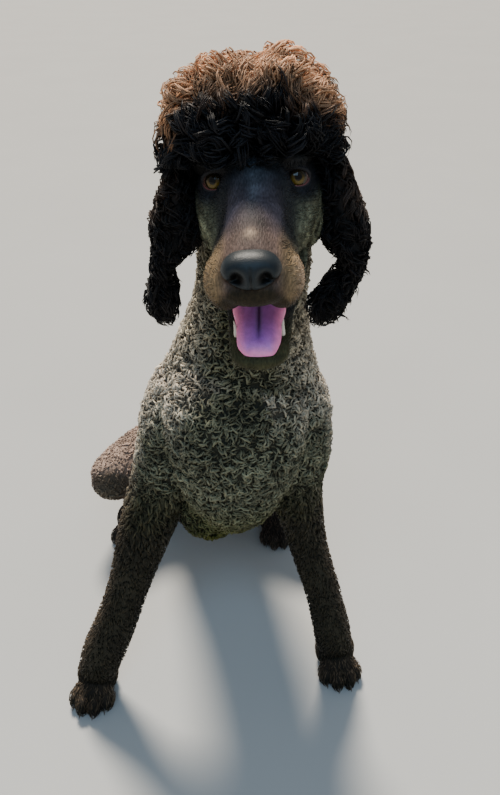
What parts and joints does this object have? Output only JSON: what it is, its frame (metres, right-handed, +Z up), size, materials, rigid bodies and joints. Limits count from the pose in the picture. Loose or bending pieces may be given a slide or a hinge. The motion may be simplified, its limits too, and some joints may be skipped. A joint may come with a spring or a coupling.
{
  "type": "standard poodle model",
  "caption": "Life-size still model of a dark brown standard poodle sitting with forelegs spread, mouth open, full curly topknot and hanging ears.",
  "frame": {"origin": "on the floor plane, under the middle of the model's bounding box", "axes": "+Z up; -Y is the way the dog's muzzle and chest face; +X is the dog's left"},
  "size_m": [0.4167, 0.8464, 0.7979],
  "materials": {
    "coat": "dense clipped curls, dark brown mottled with olive tan",
    "legs": "short dense curls, near-black brown",
    "topknot": "loose curls, black-brown at the roots and warm brown at the tips",
    "ears": "long wavy hair, near black",
    "face": "close-shaved short hair, matt with a cool sheen",
    "paws": "short hair, matt",
    "nose": "moist, fine-grained, semi-gloss",
    "tongue": "moist, satin",
    "teeth": "gloss",
    "eyes": "wet, amber-brown iris"
  },
  "bodies": {
    "root": {"head": "face", "nose": "nose", "teeth_l": "teeth", "teeth_r": "teeth", "tongue": "tongue", "eye_l": "eyes", "eye_r": "eyes", "ear_r": "ears", "ear_l": "ears", "topknot": "topknot", "forepaw_r": "paws", "forepaw_l": "paws", "hind_paw_r": "paws", "hind_paw_l": "paws", "neck": "coat", "torso": "coat", "rump": "coat", "tail": "coat", "tail_pom": "coat", "foreleg_r": "legs", "foreleg_l": "legs", "thigh_r": "legs", "thigh_l": "legs", "hock_r": "legs", "hock_l": "legs"}
  },
  "joints": []
}
